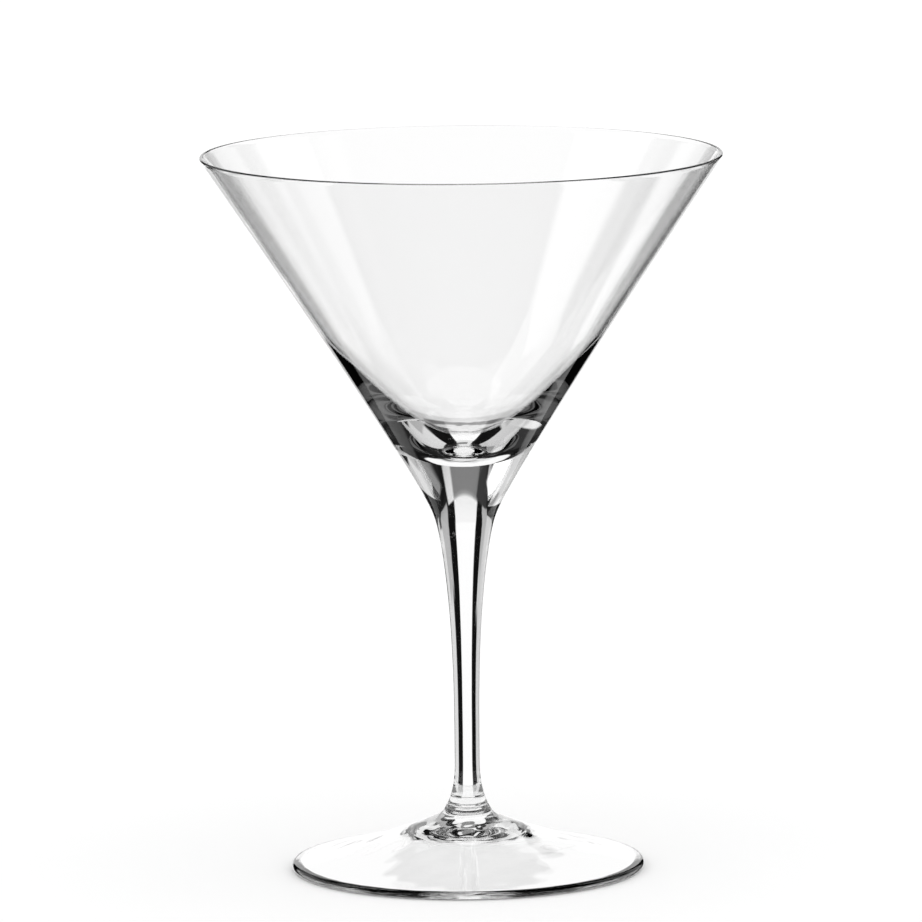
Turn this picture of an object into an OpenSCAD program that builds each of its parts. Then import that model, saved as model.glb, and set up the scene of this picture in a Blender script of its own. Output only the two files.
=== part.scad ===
// Martini glass: a thin conical bowl, a drawn stem and a spun foot, all clear glass.
// Each is made on its own, and the three are fused end to end while hot.
// The origin is the centre of the plane that the foot rests on. +Z is up.

/* [Overall] */
// Height from the table to the top of the lip
height = 166; // [138:1:200]
// Outside diameter of the rim
rim_d = 120; // [98:1:145]
// Outside diameter of the foot
foot_d = 81.4; // [67:0.1:98]

/* [Bowl] */
// Wall at the lip, measured level
lip_wall = 0.8; // [0.6:0.05:1.4]
// Wall where the well begins to round in, measured level
well_wall = 1.4; // [0.9:0.05:2]
// How far the side bows in from a straight line
side_bow = 0.65; // [0:0.05:1.5]
// Diameter of the cone at its fused face, before the stem's flare rounds into it
cone_d = 19.5; // [16:0.1:24]
// Solid glass between the stem and the bottom of the well
tip_solid = 9.4; // [7:0.1:13]
// Height over which the well rounds in
well_rise = 28.5; // [24:0.5:34]
// Radius of the round at the bottom of the well
well_round = 16.7; // [12:0.1:19]
// How far the well's side pulls in halfway up
well_pinch = 0.65; // [0:0.05:1]

/* [Stem] */
// Length of the stem between its two fused ends
stem_l = 73.1; // [55:0.1:88]
// Diameter at the narrowest place
stem_d = 5.7; // [4.5:0.1:8]
// How much radius the long taper of the stem adds on its way up
taper = 4.9; // [3:0.1:6]
// How softly the taper turns into the cone of the bowl
neck_round = 1.4; // [0.5:0.1:3]
// Length of the lower flare, from the narrowest place down to the foot
low_flare_l = 11.5; // [8:0.5:20]
// Diameter of the lower end, before its edge is rounded
low_end_d = 9.5; // [8:0.1:9.8]

/* [Foot] */
// Height of the foot's post, which the stem is fused to
foot_h = 14.9; // [12.5:0.1:18]
// Diameter of the post
post_d = 9.9; // [9.8:0.1:12]
// Diameter of the crown, where the post has flared out into the disc
crown_d = 15; // [13:0.5:18]
// Height of the crown
crown_h = 12; // [10:0.1:12.5]
// Thickness of the round edge
edge_wall = 1.9; // [1.4:0.1:2.4]
// How far the top of the disc sinks below a straight line
dish = 0.9; // [0:0.05:1.5]
// Height of the roof of the hollow underneath
hollow_h = 7.6; // [5:0.1:8.5]
// How softly the hollow's side turns into its roof
hollow_round = 1; // [0.4:0.1:3]
// Width of the flat ring that the foot rests on
ring_w = 1.5; // [1:0.1:3]

/* [Hidden] */
$fn = 128;
glass = [0.90, 0.95, 0.96, 0.4];
// Radius of the small rounds on the stem and on the post, which leave a fine groove between them
seam_round = 0.3;
// How far the bow of the bowl's side leans towards the stem
bow_lean = 0.44;
// Each outline is drawn in this many steps for a long curve, and for a small round
long_steps = 36;
round_steps = 8;
// Powers of the stem's curve: a long taper all the way up, and a short flare down to the foot
taper_power = 2.8;
low_flare_power = 3;
// How far the post spreads for each millimetre down
post_lean = 0.43;
// The height over which the well's slope is measured where it begins
slope_span = 0.5;

bowl_z = foot_h + stem_l;
well_z = bowl_z + tip_solid;
well_top_z = well_z + well_rise;
waist_z = foot_h + low_flare_l;
rim_r = rim_d / 2;
foot_r = foot_d / 2;
lip_r = lip_wall / 2;
lip_z = height - lip_r;
edge_r = edge_wall / 2;
ring_r = foot_r - edge_r;
hollow_r = ring_r - ring_w;

function steps(count) = [for (i = [0 : count]) i / count];

// A curve from a to b that leaves a and reaches b along the lines to the point c
function bend(a, c, b, t) = (1 - t) * (1 - t) * a + 2 * t * (1 - t) * c + t * t * b;

// An arc about centre, from one angle to another
function arc(centre, radius, from, to) = [
    for (t = steps(round_steps))
        centre + radius * [cos(from + (to - from) * t), sin(from + (to - from) * t)]
];

// The greater of a and b, rounded where one takes over from the other; and the lesser
function soft_max(a, b, soft) = (a + b + sqrt((a - b) * (a - b) + soft * soft)) / 2;
function soft_min(a, b, soft) = -soft_max(-a, -b, soft);

// The stem's taper: a power of the way up, which runs straight on above the fused face
function up_share(z) = max(0, z - waist_z) / (bowl_z - waist_z);
function taper_r(z) = let (u = up_share(z))
    stem_d / 2 + taper * (u < 1 ? pow(u, taper_power) : 1 + taper_power * (u - 1));

// The bowl's cone: a line that sinks in as a leaning parabola, which runs straight on below
function cone_share(z) = (z - bowl_z) / (lip_z - bowl_z);
function cone_r(z) = let (t = cone_share(z), reach = rim_r - cone_d / 2)
    cone_d / 2 + t * (reach - (t < 0 ? 4 * side_bow * (1 + bow_lean)
        : 4 * (1 - t) * side_bow * (1 + bow_lean * (1 - 2 * t))));

// One outline for stem and bowl, the wider of taper and cone, so that the fused face has no corner
lip_rest = soft_max(taper_r(lip_z), cone_r(lip_z), neck_round) - rim_r;
function outer_r(z) = soft_max(taper_r(z), cone_r(z), neck_round) - lip_rest * max(0, cone_share(z));

// The stem's lower flare is added to it
low_flare = (low_end_d - stem_d) / 2;
function down_share(z) = max(0, waist_z - z) / low_flare_l;
function stem_r(z) = outer_r(z) + low_flare * pow(down_share(z), low_flare_power);

// The wall thickens from the lip to where the well begins
function wall_at(z) = lip_wall + (well_wall - lip_wall) * (lip_z - z) / (lip_z - well_top_z);
function inner_r(z) = outer_r(z) - wall_at(z);

// The well's radius against the square root of the height above its bottom, q: a cubic that starts
// round at the bottom and meets the wall above at its slope, pulled in halfway up
well_q = sqrt(well_rise);
well_start = sqrt(2 * well_round);
well_edge_r = inner_r(well_top_z);
well_slope = 2 * well_q * (inner_r(well_top_z + slope_span) - well_edge_r) / slope_span;
well_gain = well_edge_r - well_start * well_q;
well_turn = (well_slope - well_start) * well_q / 2;
function well_r(q) = let (s = q / well_q)
    well_start * q + well_gain * s * s + 2 * (well_turn - well_gain) * (s * s * s - s * s)
    - 16 * well_pinch * s * s * (1 - s) * (1 - s);

// The top of the foot's disc sinks as a parabola between its edge and the crown. Underneath, the
// hollow runs level with it up to a roof.
function disc_share(r) = (ring_r - r) / (ring_r - crown_d / 2);
function disc_z(r) = let (t = disc_share(r))
    edge_wall + (crown_h - edge_wall) * t - 4 * dish * t * (1 - t);
function roof_z(r) = soft_min(hollow_h, disc_z(r) - disc_z(hollow_r), hollow_round);
function hollow_z(r) = roof_z(r) - roof_z(hollow_r) * r / hollow_r;

crown = [crown_d / 2, crown_h];
seam_z = foot_h + seam_round;
post_top = [post_d / 2, foot_h - seam_round];
crown_slope = (crown_h - edge_wall + 4 * dish) / (ring_r - crown_d / 2);
crown_back = (crown[0] - post_top[0] - post_lean * (post_top[1] - crown[1]))
    / (1 - post_lean * crown_slope);
post_corner = crown + crown_back * [-1, crown_slope];

module bowl() {
    color(glass) rotate_extrude() polygon(concat(
        [[0, bowl_z]],
        [for (t = steps(long_steps)) let (z = bowl_z + t * (lip_z - bowl_z)) [outer_r(z), z]],
        [for (p = arc([rim_r - lip_r, lip_z], lip_r, 0, 180)) if (p[1] > lip_z + 0.001) p],
        [for (t = steps(long_steps)) let (z = lip_z - t * (lip_z - well_top_z)) [inner_r(z), z]],
        [for (t = steps(long_steps)) let (q = well_q * (1 - t))
            if (t > 0) [well_r(q), well_z + q * q]]
    ));
}

module stem() {
    color(glass) rotate_extrude() polygon(concat(
        [[0, foot_h]],
        arc([stem_r(seam_z) - seam_round, seam_z], seam_round, -90, 0),
        [for (t = steps(2 * long_steps)) if (t > 0) let (z = seam_z + t * (bowl_z - seam_z))
            [stem_r(z), z]],
        [[0, bowl_z]]
    ));
}

module foot() {
    color(glass) rotate_extrude() polygon(concat(
        [for (t = steps(long_steps)) [hollow_r * t, hollow_z(hollow_r * t)]],
        arc([ring_r, edge_r], edge_r, -90, 90),
        [for (t = steps(long_steps)) if (t > 0) let (r = ring_r + (crown_d / 2 - ring_r) * t)
            [r, disc_z(r)]],
        [for (t = steps(round_steps)) if (t > 0) bend(crown, post_corner, post_top, t)],
        arc([post_top[0] - seam_round, post_top[1]], seam_round, 0, 90),
        [[0, foot_h]]
    ));
}

bowl();
stem();
foot();
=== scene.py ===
"""A clear martini glass: blown bowl, drawn stem and spun foot, fused end to end, on a white studio table."""
import math

import bpy
import numpy as np
from mathutils import Euler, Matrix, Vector


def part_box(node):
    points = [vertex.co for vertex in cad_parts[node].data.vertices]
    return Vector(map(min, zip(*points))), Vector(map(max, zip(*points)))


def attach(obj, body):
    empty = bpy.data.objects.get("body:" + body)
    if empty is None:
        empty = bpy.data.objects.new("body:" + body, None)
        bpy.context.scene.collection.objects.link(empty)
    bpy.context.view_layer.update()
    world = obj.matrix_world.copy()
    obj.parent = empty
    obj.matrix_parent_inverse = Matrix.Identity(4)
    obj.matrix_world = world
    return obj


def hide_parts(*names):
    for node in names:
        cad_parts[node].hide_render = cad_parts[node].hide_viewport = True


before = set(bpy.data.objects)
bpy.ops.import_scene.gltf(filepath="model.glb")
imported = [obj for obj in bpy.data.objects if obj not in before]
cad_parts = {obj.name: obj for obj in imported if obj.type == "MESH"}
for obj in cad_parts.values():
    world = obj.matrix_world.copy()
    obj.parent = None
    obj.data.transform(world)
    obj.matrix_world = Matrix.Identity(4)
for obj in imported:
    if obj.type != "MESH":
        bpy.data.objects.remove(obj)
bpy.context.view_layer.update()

MM = 0.001

# ---- sizes of the glass, in metres, from the frame where it gives them ----
BOWL_LOW, BOWL_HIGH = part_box("bowl")
FOOT_LOW, FOOT_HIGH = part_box("foot")
STEM_LOW, STEM_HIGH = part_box("stem")
LIP_Z = BOWL_HIGH.z
BOWL_Z = BOWL_LOW.z
FOOT_Z = STEM_LOW.z
RIM_R = BOWL_HIGH.x
FOOT_R = FOOT_HIGH.x

LIP_WALL, WELL_WALL = 0.8 * MM, 1.4 * MM
SIDE_BOW, BOW_LEAN = 0.65 * MM, 0.44
CONE_R, NECK_ROUND = 9.75 * MM, 1.4 * MM
TIP_SOLID, WELL_RISE, WELL_ROUND, WELL_PINCH = 9.4 * MM, 28.5 * MM, 16.7 * MM, 0.65 * MM
STEM_R, TAPER, TAPER_POWER = 2.85 * MM, 4.9 * MM, 2.8
LOW_FLARE_L, LOW_END_R, LOW_FLARE_POWER = 11.5 * MM, 4.75 * MM, 3
SEAM_ROUND = 0.3 * MM
POST_R, POST_LEAN = 4.95 * MM, 0.43
CROWN_R, CROWN_H = 7.5 * MM, 12 * MM
EDGE_WALL, DISH = 1.9 * MM, 0.9 * MM
HOLLOW_H, HOLLOW_ROUND, RING_W = 7.6 * MM, 1 * MM, 1.5 * MM
SLOPE_SPAN = 0.5 * MM

# How far worked glass strays from a true solid of revolution, the length of its waves, and for the
# crinkles how far from the axis they reach.
WALL_WAVE, WALL_WAVE_L = 0.012 * MM, 19 * MM
CRINKLE, CRINKLE_L, CRINKLE_R = 0.06 * MM, 2.4 * MM, 4 * MM
STEM_WAVE, STEM_WAVE_L = 0.012 * MM, 11 * MM
DISC_WAVE, DISC_WAVE_L = 0.035 * MM, 8 * MM
CROWN_WAVE, CROWN_WAVE_L, CROWN_WAVE_R = 0.05 * MM, 4 * MM, 10 * MM

# Near a joint, the lip or the resting ring the glass is true; the waves grow in over these heights.
WALL_GROW, LIP_TRUE, LIP_GROW = 6 * MM, 1 * MM, 8 * MM
WELL_NEAR, WELL_GROW = 4 * MM, 4 * MM
STEM_TRUE, STEM_LOW_GROW, STEM_HIGH_GROW = 0.5 * MM, 3.5 * MM, 8 * MM
RING_TRUE, RING_GROW, POST_TRUE = 0.2 * MM, 2.3 * MM, 0.5 * MM

# Steps along each stretch of an outline.
OUTSIDE_STEPS, LIP_STEPS, INSIDE_STEPS, WELL_STEPS = 150, 12, 60, 130
STEM_STEPS, SEAM_STEPS = 210, 8
HOLLOW_STEPS, EDGE_STEPS, DISC_STEPS, POST_STEPS = 120, 24, 60, 20
NECK_CROWDING = 1.6

# An end of an outline nearer to the axis than this lies on it.
ON_AXIS = 1e-7

LIP_R = LIP_WALL / 2
LIP_LINE_Z = LIP_Z - LIP_R
WELL_Z = BOWL_Z + TIP_SOLID
WELL_TOP_Z = WELL_Z + WELL_RISE
WAIST_Z = FOOT_Z + LOW_FLARE_L
RING_R = FOOT_R - EDGE_WALL / 2
HOLLOW_R = RING_R - RING_W


def steps(count, power=1.0):
    """count + 1 even steps from 0 to 1, raised to a power so that they crowd towards 0 when it is over 1."""
    return np.linspace(0, 1, count + 1) ** power


def end_steps(count):
    """count + 1 steps from 0 to 1 that crowd towards both ends as a cosine does."""
    return (1 - np.cos(math.pi * steps(count))) / 2


def arc(centre, radius, start, end, count):
    """Points on a circle about centre, from the start angle to the end angle, in degrees."""
    a = np.radians(start + (end - start) * steps(count))
    return np.column_stack([centre[0] + radius * np.cos(a), centre[1] + radius * np.sin(a)])


def bend(a, corner, b, t):
    """A quadratic curve from a to b that leaves a and reaches b along the lines to corner."""
    t = t[:, None]
    return (1 - t) ** 2 * np.array(a) + 2 * t * (1 - t) * np.array(corner) + t ** 2 * np.array(b)


def soft_max(a, b, soft):
    """The greater of a and b, rounded over about the width soft where one takes over from the other."""
    return (a + b + np.sqrt((a - b) ** 2 + soft ** 2)) / 2


def taper_r(z):
    """The stem's taper: a power of the way up, which runs straight on above the fused face."""
    u = np.clip(z - WAIST_Z, 0, None) / (BOWL_Z - WAIST_Z)
    return STEM_R + TAPER * np.where(u < 1, u ** TAPER_POWER, 1 + TAPER_POWER * (u - 1))


def cone_r(z):
    """The bowl's cone: a line that sinks in as a leaning parabola, which runs straight on below the joint."""
    t = (z - BOWL_Z) / (LIP_LINE_Z - BOWL_Z)
    sink = np.where(t < 0, 4 * (1 + BOW_LEAN), 4 * (1 - t) * (1 + BOW_LEAN * (1 - 2 * t))) * SIDE_BOW
    return CONE_R + t * (RIM_R - CONE_R - sink)


def outer_r(z):
    """One outline for stem and bowl: the wider of taper and cone, eased to end at the rim's radius."""
    rest = soft_max(taper_r(LIP_LINE_Z), cone_r(LIP_LINE_Z), NECK_ROUND) - RIM_R
    share = np.clip((z - BOWL_Z) / (LIP_LINE_Z - BOWL_Z), 0, None)
    return soft_max(taper_r(z), cone_r(z), NECK_ROUND) - rest * share


def stem_r(z):
    """The same outline, with a cubic flare at its lower end."""
    down = np.clip(WAIST_Z - z, 0, None) / LOW_FLARE_L
    return outer_r(z) + (LOW_END_R - STEM_R) * down ** LOW_FLARE_POWER


def inner_r(z):
    """The bowl's inner radius: the outline less a wall that thickens evenly from the lip to the well."""
    return outer_r(z) - LIP_WALL - (WELL_WALL - LIP_WALL) * (LIP_LINE_Z - z) / (LIP_LINE_Z - WELL_TOP_Z)


def well_r(s):
    """The well's radius at a share s of the square root of its rise: a cubic in s that starts round at the
    bottom and meets the wall above at its slope, less a hump that pulls it in halfway."""
    root = math.sqrt(WELL_RISE)
    start = math.sqrt(2 * WELL_ROUND) * root
    edge = inner_r(WELL_TOP_Z)
    slope = 2 * WELL_RISE * (inner_r(WELL_TOP_Z + SLOPE_SPAN) - edge) / SLOPE_SPAN
    gain = edge - start
    turn = (slope - start) / 2
    cubic = start * s + gain * s ** 2 + 2 * (turn - gain) * (s ** 3 - s ** 2)
    return cubic - 16 * WELL_PINCH * s ** 2 * (1 - s) ** 2


def disc_z(r):
    """The top of the foot's disc: a line from its edge up to the crown that sinks as a parabola."""
    t = (RING_R - r) / (RING_R - CROWN_R)
    return EDGE_WALL + (CROWN_H - EDGE_WALL) * t - 4 * DISH * t * (1 - t)


def hollow_z(r):
    """The hollow underneath: level with the disc's top from the resting ring up to a flat roof."""
    def roof(r):
        return -soft_max(-HOLLOW_H, disc_z(HOLLOW_R) - disc_z(r), HOLLOW_ROUND)
    return roof(r) - roof(HOLLOW_R) * r / HOLLOW_R


def bowl_outline():
    """From the fused face up the outside, over the lip, down the inside and round the well to the axis."""
    z = BOWL_Z + (LIP_LINE_Z - BOWL_Z) * steps(OUTSIDE_STEPS, NECK_CROWDING)
    outside = np.column_stack([outer_r(z), z])
    lip = arc((RIM_R - LIP_R, LIP_LINE_Z), LIP_R, 0, 180, LIP_STEPS)
    z = LIP_LINE_Z - (LIP_LINE_Z - WELL_TOP_Z) * steps(INSIDE_STEPS)
    inside = np.column_stack([inner_r(z), z])
    s = 1 - steps(WELL_STEPS)
    well = np.column_stack([well_r(s), WELL_Z + WELL_RISE * s ** 2])
    return np.vstack([outside, lip[1:], inside[1:], well[1:]])


def stem_outline():
    """From the foot's fused face over a small round and up the stem's curve to the bowl's fused face."""
    low = FOOT_Z + SEAM_ROUND
    turn = arc((stem_r(low) - SEAM_ROUND, low), SEAM_ROUND, -90, 0, SEAM_STEPS)
    z = low + (BOWL_Z - low) * end_steps(STEM_STEPS)
    return np.vstack([turn, np.column_stack([stem_r(z), z])[1:]])


def foot_outline():
    """From the axis out under the hollow, round the edge, and up the dished top and the post to the joint."""
    r = HOLLOW_R * steps(HOLLOW_STEPS)
    under = np.column_stack([r, hollow_z(r)])
    edge = arc((RING_R, EDGE_WALL / 2), EDGE_WALL / 2, -90, 90, EDGE_STEPS)
    r = RING_R + (CROWN_R - RING_R) * steps(DISC_STEPS)
    top = np.column_stack([r, disc_z(r)])
    slope = (CROWN_H - EDGE_WALL + 4 * DISH) / (RING_R - CROWN_R)
    post_z = FOOT_Z - SEAM_ROUND
    back = (CROWN_R - POST_R - POST_LEAN * (post_z - CROWN_H)) / (1 - POST_LEAN * slope)
    corner = (CROWN_R - back, CROWN_H + back * slope)
    post = bend((CROWN_R, CROWN_H), corner, (POST_R, post_z), steps(POST_STEPS))
    turn = arc((POST_R - SEAM_ROUND, post_z), SEAM_ROUND, 0, 90, SEAM_STEPS)
    return np.vstack([under, edge, top[1:], post[1:], turn[1:]])


def waves(x, y, length):
    """Three sine waves of about the same length that cross each other, the first one bent: from -1 to 1."""
    k = 2 * math.pi / length
    first = np.sin(k * x + 1.3 * np.sin(0.37 * k * y))
    second = np.sin(0.83 * k * (0.50 * x + 0.87 * y) + 2.1)
    third = np.sin(1.21 * k * (0.60 * x - 0.80 * y) + 0.6)
    return (first + second + third) / 3


def fade(z, start, end):
    """A smooth step from 0 at start to 1 at end."""
    t = np.clip((z - start) / (end - start), 0, 1)
    return t * t * (3 - 2 * t)


def bowl_wave(x, y, z):
    """How far the blown wall strays outward and upward. It is true at the joint and at the lip, and the
    bottom of the well is finely crinkled."""
    lip = LIP_Z - LIP_TRUE
    true_ends = fade(z, BOWL_Z, BOWL_Z + WALL_GROW) * fade(z, lip, lip - LIP_GROW)
    outward = WALL_WAVE * waves(x + z, y - z, WALL_WAVE_L) * true_ends
    below = BOWL_Z + WELL_NEAR
    bottom = np.exp(-(x * x + y * y) / CRINKLE_R ** 2) * fade(z, below, below + WELL_GROW)
    return outward, CRINKLE * waves(x, y, CRINKLE_L) * bottom


def stem_wave(x, y, z):
    """How far the drawn stem strays outward. It is true at both joints."""
    seam = FOOT_Z + STEM_TRUE
    true_ends = fade(z, seam, seam + STEM_LOW_GROW) * fade(z, BOWL_Z, BOWL_Z - STEM_HIGH_GROW)
    return STEM_WAVE * waves(x + z, y, STEM_WAVE_L) * true_ends, 0 * z


def foot_wave(x, y, z):
    """How far the spun disc strays upward. It is true at the joint and on the resting ring, and it is
    crinkled most under the post."""
    true_ends = fade(z, RING_TRUE, RING_TRUE + RING_GROW) * fade(z, FOOT_Z - POST_TRUE, CROWN_H)
    middle = np.exp(-(x * x + y * y) / CROWN_WAVE_R ** 2)
    upward = DISC_WAVE * waves(x, y, DISC_WAVE_L) + CROWN_WAVE * waves(x, y, CROWN_WAVE_L) * middle
    return 0 * z, upward * true_ends


def revolve(name, outline, around, materials, wave):
    """A closed solid: the outline (radius, height) turned about Z, then moved outward and upward by the
    wave. An end that isn't on the axis is closed with a flat disc, which gets the second material because
    it is fused to the next piece."""
    r, z = outline[:, 0].copy(), outline[:, 1]
    on_axis = [bool(r[0] < ON_AXIS), bool(r[-1] < ON_AXIS)]
    rows = slice(1 if on_axis[0] else 0, len(r) - 1 if on_axis[1] else len(r))
    r, z = r[rows], z[rows]
    turn = np.linspace(0, 2 * math.pi, around, endpoint=False)
    rr = np.repeat(r[:, None], around, 1)
    zz = np.repeat(z[:, None], around, 1)
    outward, upward = wave(rr * np.cos(turn), rr * np.sin(turn), zz)
    rr, zz = rr + outward, zz + upward
    points = np.stack([rr * np.cos(turn), rr * np.sin(turn), zz], -1).reshape(-1, 3)
    low_pole, high_pole = len(points), len(points) + 1
    poles = outline[[0, -1], 1] + [float(wave(0.0, 0.0, end)[1]) for end in outline[[0, -1], 1]]
    points = np.vstack([points, [[0, 0, poles[0]], [0, 0, poles[1]]]])
    i = np.arange(around)
    j = (i + 1) % around
    base = (np.arange(len(r) - 1) * around)[:, None]
    quads = np.stack([base + i, base + j, base + around + j, base + around + i], -1).reshape(-1, 4)
    last = (len(r) - 1) * around
    low_fan = np.column_stack([np.full(around, low_pole), j, i])
    high_fan = np.column_stack([np.full(around, high_pole), last + i, last + j])
    mesh = bpy.data.meshes.new(name)
    mesh.from_pydata(points.tolist(), [], quads.tolist() + low_fan.tolist() + high_fan.tolist())
    for material in materials:
        mesh.materials.append(material)
    fused = np.zeros(len(mesh.polygons), np.int32)
    fused[len(quads):len(quads) + around] = 0 if on_axis[0] else 1
    fused[len(quads) + around:] = 0 if on_axis[1] else 1
    mesh.polygons.foreach_set("material_index", fused)
    mesh.polygons.foreach_set("use_smooth", fused == 0)
    ends = np.zeros(len(mesh.edges) * 2, np.int32)
    mesh.edges.foreach_get("vertices", ends)
    ends = ends.reshape(-1, 2)
    first = (ends < around).all(1) & (not on_axis[0])
    final = ((ends >= last) & (ends < low_pole)).all(1) & (not on_axis[1])
    mesh.edges.foreach_set("use_edge_sharp", first | final)
    mesh.update()
    piece = bpy.data.objects.new(name, mesh)
    bpy.context.scene.collection.objects.link(piece)
    return piece


def polished_skin():
    """The shared skin of fire-polished glass: a height that swells and sinks gently from place to place."""
    group = bpy.data.node_groups.new("polished_skin", "ShaderNodeTree")
    length = group.interface.new_socket("Wave Length", in_out="INPUT", socket_type="NodeSocketFloat")
    length.default_value = 0.01
    group.interface.new_socket("Height", in_out="OUTPUT", socket_type="NodeSocketFloat")
    nodes, links = group.nodes, group.links
    given = nodes.new("NodeGroupInput")
    result = nodes.new("NodeGroupOutput")
    place = nodes.new("ShaderNodeTexCoord")
    shrink = nodes.new("ShaderNodeMath")
    shrink.operation = "DIVIDE"
    shrink.inputs[0].default_value = 1.0
    swell = nodes.new("ShaderNodeTexNoise")
    swell.inputs["Detail"].default_value = 1.0
    links.new(given.outputs["Wave Length"], shrink.inputs[1])
    links.new(place.outputs["Object"], swell.inputs["Vector"])
    links.new(shrink.outputs[0], swell.inputs["Scale"])
    links.new(swell.outputs["Fac"], result.inputs["Height"])
    return group


def clear_glass(name, skin, wave_length, wave_height):
    """Clear crystal whose skin swells by wave_height over about wave_length."""
    material = bpy.data.materials.new(name)
    material.use_nodes = True
    nodes, links = material.node_tree.nodes, material.node_tree.links
    shader = nodes["Principled BSDF"]
    shader.inputs["Base Color"].default_value = (1, 1, 1, 1)
    shader.inputs["Roughness"].default_value = 0.0
    shader.inputs["IOR"].default_value = CRYSTAL_IOR
    shader.inputs["Transmission Weight"].default_value = 1.0
    height = nodes.new("ShaderNodeGroup")
    height.node_tree = skin
    height.inputs["Wave Length"].default_value = wave_length
    bump = nodes.new("ShaderNodeBump")
    bump.inputs["Strength"].default_value = 1.0
    bump.inputs["Distance"].default_value = wave_height
    links.new(height.outputs["Height"], bump.inputs["Height"])
    links.new(bump.outputs["Normal"], shader.inputs["Normal"])
    return material


def fused_glass(name):
    """Where two pieces melt together there is no surface left, so light passes straight through."""
    material = bpy.data.materials.new(name)
    material.use_nodes = True
    shader = material.node_tree.nodes["Principled BSDF"]
    shader.inputs["Base Color"].default_value = (1, 1, 1, 1)
    shader.inputs["Alpha"].default_value = 0.0
    return material


CRYSTAL_IOR = 1.52
skin = polished_skin()
fused = fused_glass("fused_joint")
# Each piece: its node, its name, its outline, its steps around, its wave, and the length and height of
# the swells in its skin.
pieces = [
    ("bowl", "blown_bowl", bowl_outline(), 272, bowl_wave, 14 * MM, 0.010 * MM),
    ("stem", "drawn_stem", stem_outline(), 160, stem_wave, 7 * MM, 0.004 * MM),
    ("foot", "spun_foot", foot_outline(), 320, foot_wave, 9 * MM, 0.010 * MM),
]
for node, name, outline, around, wave, skin_length, skin_height in pieces:
    glass = clear_glass(node + "_crystal", skin, skin_length, skin_height)
    piece = revolve(name, outline, around, [glass, fused], wave)
    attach(piece, "root")
    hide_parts(node)

# ---- camera ----
SENSOR_WIDTH = 36.0
LENS = 364.295
CLIP_END = 100
CAM_DISTANCE = 2.147
PITCH = math.radians(8.334)
ROLL = math.radians(0.584)
AIM = Vector((-0.734 * MM, 0, 94.9 * MM))
scene = bpy.context.scene
camera = bpy.data.objects.new("camera", bpy.data.cameras.new("camera"))
scene.collection.objects.link(camera)
camera.data.sensor_width = SENSOR_WIDTH
camera.data.lens = LENS
camera.data.clip_end = CLIP_END
forward = Vector((0, math.cos(PITCH), -math.sin(PITCH)))
camera.location = AIM - forward * CAM_DISTANCE
camera.rotation_euler = (Euler((math.pi / 2 - PITCH, 0, 0)).to_matrix()
                         @ Euler((0, 0, -ROLL)).to_matrix()).to_euler()
scene.camera = camera

# ---- studio ----
scene.view_settings.view_transform = "Standard"
GLASS_BOUNCES, GLOSSY_BOUNCES = 24, 12
scene.cycles.max_bounces = GLASS_BOUNCES
scene.cycles.transmission_bounces = GLASS_BOUNCES
scene.cycles.glossy_bounces = GLOSSY_BOUNCES
scene.cycles.transparent_max_bounces = GLASS_BOUNCES

WORLD_LIGHT = 1.08
world = bpy.data.worlds.new("white_room")
scene.world = world
world.use_nodes = True
world.node_tree.nodes["Background"].inputs["Color"].default_value = (1, 1, 1, 1)
world.node_tree.nodes["Background"].inputs["Strength"].default_value = WORLD_LIGHT

FLOOR_HALF, FLOOR_Z = 6.0, -0.2 * MM
mesh = bpy.data.meshes.new("floor")
corners = [(-1, -1), (1, -1), (1, 1), (-1, 1)]
mesh.from_pydata([(x * FLOOR_HALF, y * FLOOR_HALF, FLOOR_Z) for x, y in corners], [], [(0, 1, 2, 3)])
floor = bpy.data.objects.new("floor", mesh)
scene.collection.objects.link(floor)
material = bpy.data.materials.new("white_table")
material.use_nodes = True
shader = material.node_tree.nodes["Principled BSDF"]
shader.inputs["Base Color"].default_value = (1, 1, 1, 1)
shader.inputs["Specular IOR Level"].default_value = 0
shader.inputs["Roughness"].default_value = 1
mesh.materials.append(material)
# The glass sees the glowing disc and the lower half of the dome in place of the floor.
floor.visible_transmission = False
floor.visible_glossy = False


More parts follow.
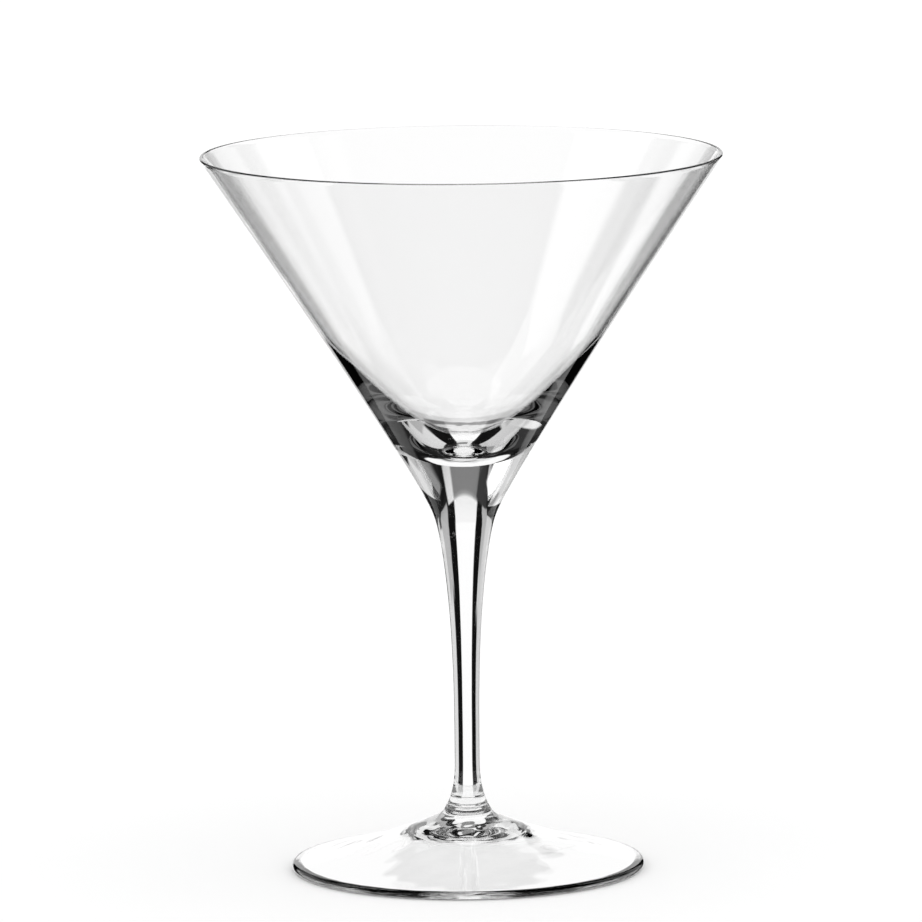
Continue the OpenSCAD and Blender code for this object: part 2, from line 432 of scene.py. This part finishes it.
# The dome round the glass is seen only in the glass, and it turns with the camera so that every view is
# lit alike. Each panel: its bearings at its foot, its bearings at its head (0 is straight behind the
# glass, positive is the camera's right), the heights of its foot and head, all in degrees, its
# brightness, and how soft its edges are in degrees. A later panel lies over an earlier one. The dome's
# own step is in degrees too.
DOME_RADIUS = 4.0
DOME_STEP = 1
ROOM_DARK = 0.015
PANELS = [
    ("floor_glow", (-100, 100), (-100, 100), -90, -72, 0.6, 6),
    ("ceiling", (-60, 60), (-60, 60), 56, 74, 0.85, 6),
    ("rear_low", (155, 205), (155, 205), -38, -12, 0.12, 6),
    ("side_grey_left", (-122, -96), (-122, -96), -2, 24, 0.04, 4),
    ("side_black_left", (-135, -98), (-135, -98), -45, -4, 0.01, 4),
    ("side_black_right", (98, 135), (98, 135), -45, -6, 0.01, 4),
    ("rear_grey_left", (-152, -124), (-152, -124), 5, 36, 0.13, 5),
    ("rear_grey_right", (124, 152), (124, 152), 5, 36, 0.14, 5),
    ("left_panel", (-94, -27), (-94, -27), -32, 31, 0.68, 3),
    ("left_panel_low", (-64, -40), (-64, -40), -44, -28, 0.62, 4),
    ("left_panel_foot", (-92, -66), (-92, -66), -32, -12, 0.36, 4),
    ("left_panel_mid", (-72, -54), (-72, -54), -2, 31, 0.85, 8),
    ("left_panel_bright", (-95, -78), (-95, -74), -4, 38, 1.0, 6),
    ("left_strip", (-37, -25), (-37, -24), 0, 36, 0.5, 2),
    ("left_softbox", (-105, -60), (-105, -60), 37, 64, 1.6, 3),
    ("left_black_head", (-60, -37), (-60, -37), 27, 47, 0.01, 3),
    ("right_panel", (54, 80), (58, 86), 8, 38, 0.8, 3),
    ("right_panel_low", (33, 76), (33, 70), -38, 12, 0.78, 3),
    ("right_softbox", (60, 88), (60, 84), 37, 48, 1.2, 2),
    ("right_grey_head", (68, 102), (74, 104), 47, 60, 0.25, 6),
    ("right_strip", (26, 46), (24, 44), -2, 36, 0.5, 2),
    ("back_low_wide", (-27, 25), (-27, 25), -90, -54, 0.5, 4),
    ("back_low", (-23, 20), (-16, 14), -70, -36, 0.85, 3),
    ("back_low_band", (-9, 18), (-9, 18), -54, -47, 0.26, 2),
    ("back_wall", (-18, 15), (-16, 13), -40, 14, 1.08, 1),
    ("back_wall_head", (-16, 13), (-16, 13), 12, 34, 1.0, 1),
    ("flag_left_foot", (-41, -24), (-35, -17), -48, -4, 0.005, 1),
    ("flag_left", (-30, -16), (-23, -15), -4, 37, 0.005, 0.7),
    ("flag_right_foot", (20, 41), (15, 32), -48, -10, 0.005, 1),
    ("flag_right", (14, 30), (12, 20), -12, 34, 0.005, 0.7),
    ("rail_dark", (-33, -13), (-33, -13), 34, 44, 0.05, 1),
    ("rail_grey", (-13, 12), (-13, 12), 34, 45, 0.26, 1),
    ("rail_white", (12, 21), (12, 21), 33.5, 44, 0.9, 1),
    ("rail_white_left", (-37, -24), (-37, -24), 45, 54, 1.0, 2),
    ("rail_black_right", (21, 40), (21, 40), 40, 56, 0.005, 2),
]


def ramp(x, edge, soft):
    """A smooth step from 0 to 1 as x passes the edge, soft degrees wide."""
    return fade(x, edge - soft / 2, edge + soft / 2)


def dome_light(bearing, height):
    """Brightness of the dome in a direction: the dark room, then each panel laid over what is before it."""
    light = np.full(bearing.shape, ROOM_DARK)
    for _, foot_bearings, head_bearings, foot, head, brightness, soft in PANELS:
        t = np.clip((height - foot) / (head - foot), 0, 1)
        start = foot_bearings[0] + (head_bearings[0] - foot_bearings[0]) * t
        end = foot_bearings[1] + (head_bearings[1] - foot_bearings[1]) * t
        turned = start + (bearing - start) % 360
        turned = np.where(turned > end + (360 - (end - start)) / 2, turned - 360, turned)
        cover = ramp(turned, start, soft) * ramp(-turned, -end, soft)
        cover *= ramp(height, foot, soft) * ramp(-height, -head, soft)
        light = light * (1 - cover) + brightness * cover
    return light


def lamp(name):
    """A material that only shines, and its light node."""
    material = bpy.data.materials.new(name)
    material.use_nodes = True
    nodes = material.node_tree.nodes
    nodes.clear()
    light = nodes.new("ShaderNodeEmission")
    out = nodes.new("ShaderNodeOutputMaterial")
    material.node_tree.links.new(light.outputs[0], out.inputs[0])
    return material, light


def seen_in_glass(name, mesh, material):
    """A sheet that shows only in the glass: it lights nothing and casts no shadow."""
    mesh.materials.append(material)
    sheet = bpy.data.objects.new(name, mesh)
    scene.collection.objects.link(sheet)
    sheet.visible_camera = False
    sheet.visible_diffuse = False
    sheet.visible_shadow = False
    return sheet


def light_dome(name, radius):
    """A sphere round the glass whose vertices carry the dome's brightness."""
    turns = np.arange(-180, 180, DOME_STEP)
    tilts = np.arange(-90, 90 + DOME_STEP, DOME_STEP)
    bearings, heights = np.meshgrid(turns, tilts)
    a, e = np.radians(bearings), np.radians(heights)
    middle = (BOWL_Z + FOOT_Z) / 2
    points = np.stack([radius * np.cos(e) * np.sin(a), radius * np.cos(e) * np.cos(a),
                       middle + radius * np.sin(e)], -1).reshape(-1, 3)
    rows, around = bearings.shape
    i = np.arange(around)
    base = (np.arange(rows - 1) * around)[:, None]
    j = (i + 1) % around
    quads = np.stack([base + i, base + around + i, base + around + j, base + j], -1).reshape(-1, 4)
    mesh = bpy.data.meshes.new(name)
    mesh.from_pydata(points.tolist(), [], quads.tolist())
    brightness = mesh.attributes.new("brightness", "FLOAT", "POINT")
    brightness.data.foreach_set("value", dome_light(bearings, heights).astype(np.float32).ravel())
    material, light = lamp(name)
    read = material.node_tree.nodes.new("ShaderNodeAttribute")
    read.attribute_name = "brightness"
    material.node_tree.links.new(read.outputs["Fac"], light.inputs["Strength"])
    sheet = seen_in_glass(name, mesh, material)
    return sheet


GLOW_RADIUS, GLOW_Z, GLOW_LIGHT, GLOW_SIDES = 39 * MM, -0.1 * MM, 0.98, 96


def table_glow(name):
    """A disc under the foot: the lit white table, as it is seen through the glass."""
    turn = np.linspace(0, 2 * math.pi, GLOW_SIDES, endpoint=False)
    rim = GLOW_RADIUS * np.column_stack([np.cos(turn), np.sin(turn)])
    points = np.column_stack([rim, np.full(GLOW_SIDES, GLOW_Z)])
    mesh = bpy.data.meshes.new(name)
    mesh.from_pydata(points.tolist(), [], [list(range(GLOW_SIDES))])
    material, light = lamp(name)
    light.inputs["Strength"].default_value = GLOW_LIGHT
    sheet = seen_in_glass(name, mesh, material)


table_glow("table_glow")
dome = light_dome("light_dome", DOME_RADIUS)
bpy.context.view_layer.update()
dome.parent = camera
dome.matrix_parent_inverse = camera.matrix_world.inverted()

bpy.context.view_layer.update()
